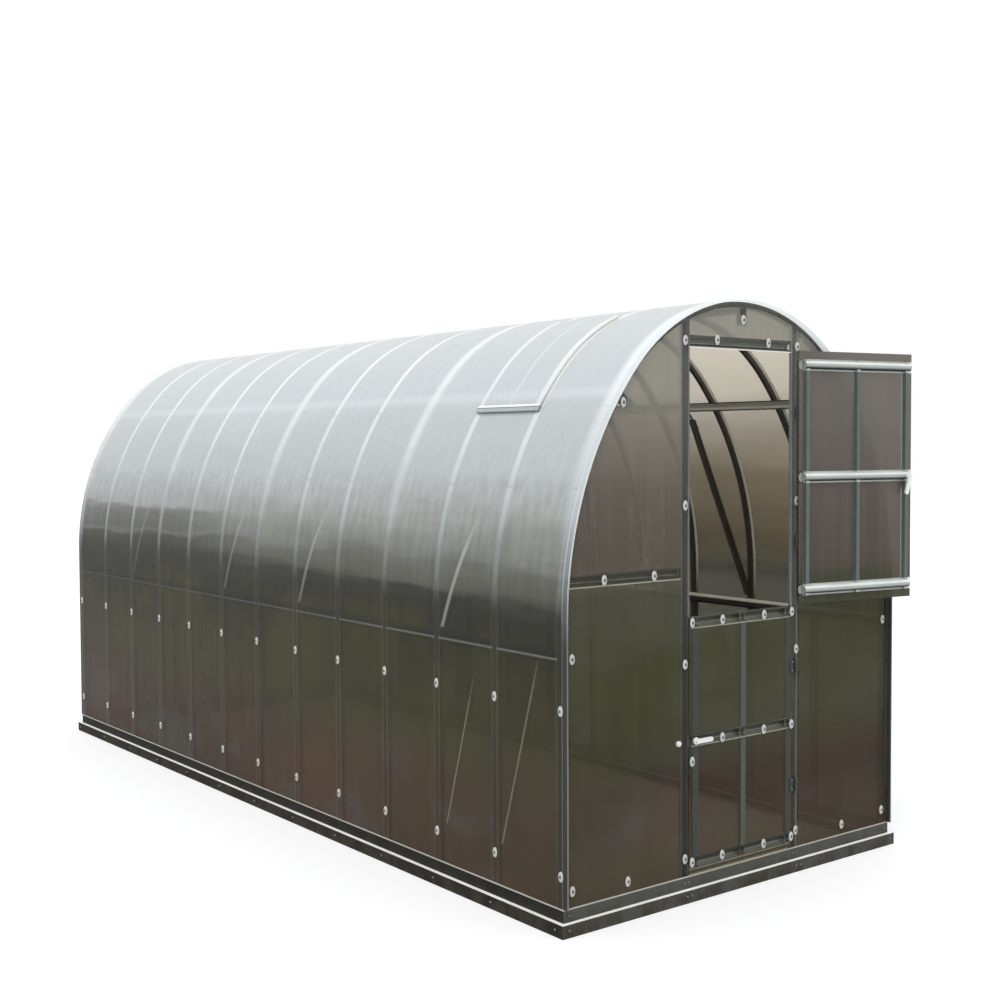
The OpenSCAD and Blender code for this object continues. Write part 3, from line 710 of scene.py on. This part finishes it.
MATERIALS = {
    "frame": galvanised("frame_zinc", *ZINC, 0.42, 0.45),
    # a painted highlight along the rails' lower edge
    "rail": galvanised(
        "rail_zinc", srgb(48, 50, 46), srgb(76, 78, 73), srgb(84, 86, 80), 0.45, 0.2, 0.08,
        rails=(RAIL_Z, HEADER_Z), lip=srgb(240, 240, 232),
    ),
    # the right-hand post painted paler as painted light
    "post": galvanised("post_zinc", *ZINC, 0.42, 0.45, paler=(0.20, 0.26)),
    # the arches' flanges in painted shade low down and painted light high up
    "arch": galvanised(
        "arch_zinc", srgb(60, 58, 52), srgb(82, 82, 76), srgb(110, 112, 108), 0.42, 0.3, flanges=True
    ),
    # darker than the frame's zinc: painted shade on the braces, which stand inside the house
    "brace": galvanised(
        "brace_zinc", srgb(58, 56, 50), srgb(76, 75, 68), srgb(130, 132, 126), 0.45, 0.2, 0.1
    ),
    # near white at the side and underneath as painted light, with lines of painted shade at its foot and head
    "upper_purlin": galvanised(
        "upper_purlin_zinc", srgb(232, 232, 225), srgb(240, 240, 234), srgb(120, 120, 116), 0.40, 0.1,
        0.1, lines=((UPPER_PURLIN_FOOT, 0.0024, EDGE_SHADE), (UPPER_PURLIN_HEAD, 0.0026, EDGE_SHADE)),
    ),
    # painted light on its top and a painted highlight line along its length
    "lower_purlin": galvanised(
        "lower_purlin_zinc", srgb(48, 49, 46), srgb(62, 64, 60), srgb(244, 247, 243), 0.34, 0.2, 0.1,
        lines=((LOW_PURLIN_LINE, 0.0062, srgb(255, 255, 252)),),
    ),
    # a white top as painted light on the ledge, and painted shade on its end faces
    "base": galvanised(
        "base_zinc", srgb(38, 40, 36), srgb(85, 86, 82), srgb(255, 255, 250), 0.5, 0.30,
        dirt=(srgb(64, 59, 50), 0.11), ends=srgb(24, 25, 23),
        lines=((BASE_TOP - 0.0022, 0.0020, srgb(190, 187, 172)),), specular=0.15,
    ),
    "bright": galvanised(
        "fresh_zinc", srgb(120, 125, 122), srgb(196, 201, 199), srgb(232, 236, 234), 0.28, 0.8
    ),
    # the vent's edge profile, near white as painted light, has a grey strip between two dark lines of painted
    # shadow
    "vent_steel": galvanised(
        "vent_zinc", srgb(170, 174, 174), srgb(246, 249, 249), srgb(252, 254, 254), 0.40, 0.05, 0.04,
        lines=((1.7475, 0.0085, srgb(178, 183, 183)), (1.7566, 0.0013, srgb(84, 88, 88)),
               (1.7385, 0.0016, srgb(96, 100, 100))),
    ),
    # a painted highlight along the rails' lower edge
    "lower_frame": galvanised(
        "lower_leaf_zinc", srgb(52, 54, 50), srgb(98, 104, 101), srgb(170, 175, 170), 0.36, 0.4, 0.10,
        rails=LOWER_RAILS, lip=srgb(236, 236, 228),
    ),
    # the rails painted paler at the side and above and darker underneath, as painted light and shade
    "upper_frame": galvanised(
        "upper_leaf_zinc", srgb(52, 54, 50), srgb(100, 108, 106), srgb(170, 176, 173), 0.34, 0.5, 0.12,
        rails=UPPER_RAILS,
    ),
    "hinge": galvanised(
        "hinge_zinc", srgb(44, 46, 44), srgb(62, 65, 63), srgb(80, 84, 82), 0.42, 0.4
    ),
    "screw": galvanised(
        "screw_zinc", srgb(50, 52, 52), srgb(96, 100, 100), srgb(130, 134, 134), 0.35, 0.8
    ),
    "bolt": galvanised(
        "bolt_zinc", srgb(120, 124, 124), srgb(205, 210, 208), srgb(235, 238, 236), 0.22, 0.9
    ),
    "roof": roof_sheet("roof_clear"),
    "roof_front": roof_sheet("roof_clear_front", (GABLE_FRONT, EAVE_FRONT, -1)),
    "roof_rear": roof_sheet("roof_clear_rear", (GABLE_REAR, EAVE_REAR, 1)),
    "vent": roof_sheet("vent_clear", stripes=VENT_STRIPES),
    "gable": gable_sheet("gable_clear"),
    "lower_leaf": leaf_sheet("lower_leaf_clear", LOWER_RAILS, GABLE_COVER),
    "upper_leaf": leaf_sheet("upper_leaf_clear", UPPER_RAILS, UPPER_LEAF_COVER, swung=True),
    "white": moulded("white_moulding", (0.80, 0.81, 0.80), 0.32),
    "washer": moulded("washer_plastic", (0.56, 0.57, 0.55), 0.28, 600),
}

# the finish of a frame node by how its name starts, longer starts first; the others follow
# their slot
NAMED_FINISH = {
    "roof_sheet_1": "roof_front", "roof_sheet_4": "roof_rear", "roof_sheet": "roof",
    "door_posts": "post", "vent_sheet": "vent", "vent_frame": "vent_steel",
    "front_sheet": "gable", "rear_sheet": "gable",
    "lower_leaf_sheet": "lower_leaf", "upper_leaf_sheet": "upper_leaf",
    "lower_leaf_frame": "lower_frame", "upper_leaf_frame": "upper_frame",
    "front_rails": "rail", "rear_rails": "rail", "door_header": "rail", "arch": "arch",
    "braces": "brace", "upper_purlins": "upper_purlin", "lower_purlins": "lower_purlin",
    "post_hinges": "hinge", "lower_leaf_hinges": "hinge", "upper_leaf_hinges": "hinge",
}
SLOT_FINISH = {
    "frame_steel": "frame", "base_steel": "base", "bright_steel": "bright",
    "sheet": "gable", "white_plastic": "white",
}
SLOT_OF = {row["node"]: row["material_slot"] for row in frame["record"]["subparts"]}

for name, node in NODES.items():
    starts = [start for start in NAMED_FINISH if name.startswith(start)]
    finish = NAMED_FINISH[starts[0]] if starts else SLOT_FINISH[SLOT_OF[name]]
    node.data.materials.clear()
    node.data.materials.append(MATERIALS[finish])

# ---- small pieces ----


def lathe(outline, sides):
    """Points and faces of a form turned about Z; outline is (radius, height) from the top down."""
    points, faces = [], []
    for radius, height in outline:
        for i in range(sides):
            a = 2 * math.pi * i / sides
            points.append(Vector((radius * math.cos(a), radius * math.sin(a), height)))
    for ring in range(len(outline) - 1):
        for i in range(sides):
            j = (i + 1) % sides
            a, b = ring * sides, (ring + 1) * sides
            faces.append((a + i, b + i, b + j, a + j))
    faces.append(tuple(range(sides)))
    faces.append(tuple((len(outline) - 1) * sides + i for i in reversed(range(sides))))
    return points, faces


WASHER_R = 0.0150
WASHER_H = 0.0042
SCREW_SINK = 0.0018
OVAL = Matrix.Diagonal((0.76, 1.20, 1.0, 1.0))
WASHER = lathe([
    (0.0052, WASHER_H - 0.0016), (0.0060, WASHER_H - 0.0004), (0.0072, WASHER_H),
    (0.0105, WASHER_H - 0.0002), (0.0132, WASHER_H - 0.0010), (0.0146, WASHER_H - 0.0022),
    (WASHER_R, WASHER_H - 0.0034), (WASHER_R, 0.0),
], 28)
SCREW = lathe([
    (0.0020, 0.0042), (0.0040, 0.0042), (0.0046, 0.0036), (0.0046, 0.0022), (0.0050, 0.0020),
    (0.0050, 0.0),
], 12)
BOLT = lathe([
    (0.0022, 0.0040), (0.0046, 0.0040), (0.0052, 0.0033), (0.0052, 0.0014), (0.0075, 0.0012),
    (0.0078, 0.0),
], 12)


def facing(point, normal):
    """Where a form turned about Z goes, to stand on a surface at point."""
    turn = Vector(normal).to_track_quat("Z", "Y").to_matrix().to_4x4()
    return Matrix.Translation(point) @ turn


def scatter(name, form, spots, material, body):
    """One mesh of a small form, given as points and faces, repeated at the spots."""
    mesh = bpy.data.meshes.new(name)
    points, faces = [], []
    for spot in spots:
        first = len(points)
        points += [spot @ p for p in form[0]]
        faces += [tuple(first + i for i in face) for face in form[1]]
    mesh.from_pydata([tuple(p) for p in points], [], faces)
    for face in mesh.polygons:
        face.use_smooth = len(face.vertices) == 4
    mesh.materials.append(MATERIALS[material])
    piece = bpy.data.objects.new(name, mesh)
    bpy.context.scene.collection.objects.link(piece)
    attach(piece, body)


def washers(name, spots, body="house"):
    """Thermal washers, which are oval, with their screws."""
    ovals = [spot @ OVAL for spot in spots]
    scatter("washers_" + name, WASHER, ovals, "washer", body)
    screws = [spot @ Matrix.Translation((0, 0, SCREW_SINK)) for spot in spots]
    scatter("washer_screws_" + name, SCREW, screws, "screw", body)


def both_sides(places):
    return [(s * x, z) for x, z in places for s in (-1, 1)]


def on_slope(side, radius, height):
    """The point at a radius from the side curve's centre, on the ray to the curve at a height."""
    angle = math.asin((height - SPRING_Z) / SIDE_R)
    return Vector((side * (SIDE_CX + radius * math.cos(angle)), 0, SPRING_Z + radius * math.sin(angle)))


def strap(side, lean):
    """The strap from a brace's upper end up to the upper purlin, as points and faces."""
    points, faces = [], []
    for z in STRAP_HEIGHTS:
        for radius in (STRAP_R, STRAP_R - STRAP_T):
            for across in (-0.012, 0.012):
                along = Vector((0, lean * (z - STRAP_MIDDLE) + across, 0))
                points.append(on_slope(side, radius, z) + along)
    for a in range(0, 4 * (len(STRAP_HEIGHTS) - 1), 4):
        faces += [(a + i, a + j, a + j + 4, a + i + 4) for i, j in ((0, 1), (1, 3), (3, 2), (2, 0))]
    last = len(points) - 4
    faces += [(0, 2, 3, 1), (last, last + 1, last + 3, last + 2)]
    if side < 0:
        faces = [face[::-1] for face in faces]
    return points, faces


# washers along the walls; those of the first arch stand nearer the gable
WALL_HEIGHTS = (0.197, 0.746)
FIRST_ARCH_SHIFT = 0.006
for side, sign in (("left", -1), ("right", 1)):
    spots = [
        facing((sign * SKIN_X, y - FIRST_ARCH_SHIFT if y == ARCH_YS[0] else y, z), (sign, 0, 0))
        for y in ARCH_YS
        for z in WALL_HEIGHTS
    ]
    washers(side, spots)

# the closed leaves pass beside the posts' washers and below the header's by 5 mm
BESIDE_LEAF = 0.2955
ABOVE_LEAF = 1.989
BESIDE_MIDDLE = 0.1355
GABLE_SPOTS = both_sides([
    (0.820, 0.144), (0.820, 0.915), (0.570, 0.128),
    (BESIDE_LEAF, 0.153), (BESIDE_LEAF, 0.845), (BESIDE_LEAF, 1.405), (BESIDE_LEAF, 1.982),
    (BESIDE_MIDDLE, ABOVE_LEAF), (0.677, RAIL_Z), (0.446, RAIL_Z), (0.590, 1.762),
]) + [(0.0, 2.067)]
washers("front", [facing((x, GABLE_FRONT, z), (0, -1, 0)) for x, z in GABLE_SPOTS])
REAR_SPOTS = GABLE_SPOTS + both_sides([(BESIDE_MIDDLE, RAIL_Z), (BESIDE_MIDDLE, 0.128)])
washers("rear", [facing((x, GABLE_REAR, z), (0, 1, 0)) for x, z in REAR_SPOTS])

POST_SCREW_X = 0.2915
post_screws = [
    facing((POST_SCREW_X, GABLE_FRONT - HINGE_PLATE_T, height + rise), (0, -1, 0))
    for height in HINGE_HEIGHTS for rise in POST_SCREW_RISES
]
scatter("hinge_screws_post", SCREW, post_screws, "bolt", "house")

# the braces' straps on the upper purlins, each with a bolt
STRAP_R = SIDE_R - 0.0232
STRAP_T = 0.003
STRAP_HEIGHTS = (1.700, 1.722, 1.744, 1.766)
STRAP_MIDDLE = 1.727
STRAP_BOLT = STRAP_HEIGHTS[2]
for side, sign in (("left", -1), ("right", 1)):
    lean = BRACE_LEAN[side] / BRACE_RISE
    ends = [k * BAY + BRACE_LEAN[side] for k in BRACED]
    spots = [Matrix.Translation((0, y, 0)) for y in ends]
    scatter("brace_tabs_" + side, strap(sign, lean), spots, "brace", "house")
    spot = on_slope(sign, STRAP_R - STRAP_T, STRAP_BOLT)
    inside = on_slope(sign, 0.0, STRAP_BOLT) - on_slope(sign, 1.0, STRAP_BOLT)
    bolts = [
        facing(spot + Vector((0, y + lean * (STRAP_BOLT - STRAP_MIDDLE), 0)), inside) for y in ends
    ]
    scatter("brace_bolts_" + side, BOLT, bolts, "bolt", "house")

# screws through the base rail and the foundation, below the posts and at the corners
FOOT_SCREW_Z = 0.024
RAIL_ROW = (0.066, 0.009, 0.835)        # height, half a pair's spacing and the corner's x
FOOT_ROW = (FOOT_SCREW_Z, 0.012, 0.85)


def screw_row(face, way, row):
    """Spots of a pair of screws below each post and one at each corner."""
    height, apart, corner = row
    xs = [s * POST_X + dx for s in (-1, 1) for dx in (-apart, apart)] + [-corner, corner]
    return [facing((x, face, height), (0, way, 0)) for x in xs]


for side, way, edge in (("front", -1, low), ("rear", 1, high)):
    spots = screw_row(edge("base_rail_" + side, 1), way, RAIL_ROW)
    spots += screw_row(edge("foundation_" + side, 1), way, FOOT_ROW)
    scatter("base_screws_" + side, SCREW, spots, "screw", "house")
for side, way in (("left", -1), ("right", 1)):
    face = high("foundation_right", 0) * way
    spots = [facing((face, y, FOOT_SCREW_Z), (way, 0, 0)) for y in ARCH_YS]
    scatter("base_screws_" + side, SCREW, spots, "screw", "house")

# washers of the leaves; at the middle rail the handle takes the place of the first, which on
# the lower leaf sits below it
LEAF_XS = (-LEAF_EDGE, -0.1107, 0.1107, LEAF_EDGE)
LOWER_SPOTS = (0.136, 0.564, 0.990)
BELOW_HANDLE = 0.497


def leaf_places(heights):
    return [(x, z) for z in heights for x in LEAF_XS if (x, z) != (LEAF_XS[0], heights[1])]


lower_places = leaf_places(LOWER_SPOTS) + [(-LEAF_EDGE, BELOW_HANDLE)]
lower_spots = [facing((x, LEAF_FRONT, z), (0, -1, 0)) for x, z in lower_places]
washers("lower_leaf", lower_spots, "lower_leaf")

SWING = (
    Matrix.Translation((HINGE.x, HINGE.y, 0))
    @ Matrix.Rotation(OPEN_ANGLE, 4, "Z")
    @ Matrix.Translation((-HINGE.x, -HINGE.y, 0))
)
upper_spots = [
    SWING @ facing((x, LEAF_FRONT, z), (0, -1, 0)) for x, z in leaf_places(UPPER_RAILS)
]
washers("upper_leaf", upper_spots, "upper_leaf")

LEAF_SCREW_X = 0.2650
for leaf, heights, move in (
    ("lower_leaf", HINGE_HEIGHTS[:2], Matrix.Identity(4)),
    ("upper_leaf", HINGE_HEIGHTS[2:], SWING),
):
    spots = [
        move @ facing((LEAF_SCREW_X, LEAF_FRONT - HINGE_PLATE_T, height + rise), (0, -1, 0))
        for height in heights for rise in LEAF_SCREW_RISES
    ]
    scatter("hinge_screws_" + leaf, SCREW, spots, "screw", leaf)

# ---- camera, floor and light ----

CAMERA_PLACE = (-3.7567, -3.4338, 1.6217)
CAMERA_ANGLES = (37.7245, -2.3101, -0.25)       # yaw, pitch and roll in degrees
SENSOR_MM = 36.0
LENS_MM = 49.62
FLOOR_REACH = 40
FLOOR_Z = -0.0005
SKY_COLOUR = (0.97, 0.985, 1.0, 1.0)
SKY_STRENGTH = 0.76
WHITE = (1.0, 1.0, 1.0, 1.0)
SUN_PLACE = (-3.0, -3.2, 6.0)
SUN_STRENGTH = 1.4
SUN_ANGLE = math.radians(35)


def look():
    """The camera, where the whole house is seen from its front left corner."""
    yaw, pitch, roll = (math.radians(angle) for angle in CAMERA_ANGLES)
    ahead = Vector((
        math.sin(yaw) * math.cos(pitch), math.cos(yaw) * math.cos(pitch), math.sin(pitch)
    ))
    right = Vector((math.cos(yaw), -math.sin(yaw), 0))
    up = right.cross(ahead)
    turned_right = right * math.cos(roll) + up * math.sin(roll)
    turned_up = up * math.cos(roll) - right * math.sin(roll)
    camera = bpy.data.objects.new("camera", bpy.data.cameras.new("camera"))
    bpy.context.scene.collection.objects.link(camera)
    axes = Matrix((turned_right, turned_up, -ahead)).transposed().to_4x4()
    camera.matrix_world = Matrix.Translation(CAMERA_PLACE) @ axes
    camera.data.sensor_width = SENSOR_MM
    camera.data.lens = LENS_MM
    camera.data.clip_end = 200
    bpy.context.scene.camera = camera


def daylight():
    """Soft sunlight from the front left."""
    light = bpy.data.lights.new("daylight", "SUN")
    light.energy = SUN_STRENGTH
    light.angle = SUN_ANGLE
    sun = bpy.data.objects.new("daylight", light)
    bpy.context.scene.collection.objects.link(sun)
    sun.matrix_world = facing(SUN_PLACE, SUN_PLACE)


def background(tree, colour, strength):
    node = tree.nodes.new("ShaderNodeBackground")
    node.inputs["Color"].default_value = colour
    node.inputs["Strength"].default_value = strength
    return node.outputs[0]


def room():
    """A pale floor, and a world that looks white and lights a little less than that."""
    mesh = bpy.data.meshes.new("floor")
    corners = [(x * FLOOR_REACH, y * FLOOR_REACH, 0) for x, y in ((-1, -1), (1, -1), (1, 1), (-1, 1))]
    mesh.from_pydata(corners, [], [(0, 1, 2, 3)])
    mesh.materials.append(floor_material())
    floor = bpy.data.objects.new("floor", mesh)
    bpy.context.scene.collection.objects.link(floor)
    floor.location.z = FLOOR_Z

    world = bpy.data.worlds.new("white_room")
    bpy.context.scene.world = world
    world.use_nodes = True
    tree = world.node_tree
    tree.nodes.clear()
    path = tree.nodes.new("ShaderNodeLightPath")
    seen = path.outputs["Is Camera Ray"]
    for kind in ("Is Glossy Ray", "Is Transmission Ray"):
        either = tree.nodes.new("ShaderNodeMath")
        either.operation = "MAXIMUM"
        tree.links.new(seen, either.inputs[0])
        tree.links.new(path.outputs[kind], either.inputs[1])
        seen = either.outputs[0]
    mix = tree.nodes.new("ShaderNodeMixShader")
    out = tree.nodes.new("ShaderNodeOutputWorld")
    tree.links.new(seen, mix.inputs[0])
    tree.links.new(background(tree, SKY_COLOUR, SKY_STRENGTH), mix.inputs[1])
    tree.links.new(background(tree, WHITE, 1.0), mix.inputs[2])
    tree.links.new(mix.outputs[0], out.inputs["Surface"])


look()
room()
daylight()
scene = bpy.context.scene
scene.view_settings.view_transform = "Standard"
scene.cycles.transparent_max_bounces = 24
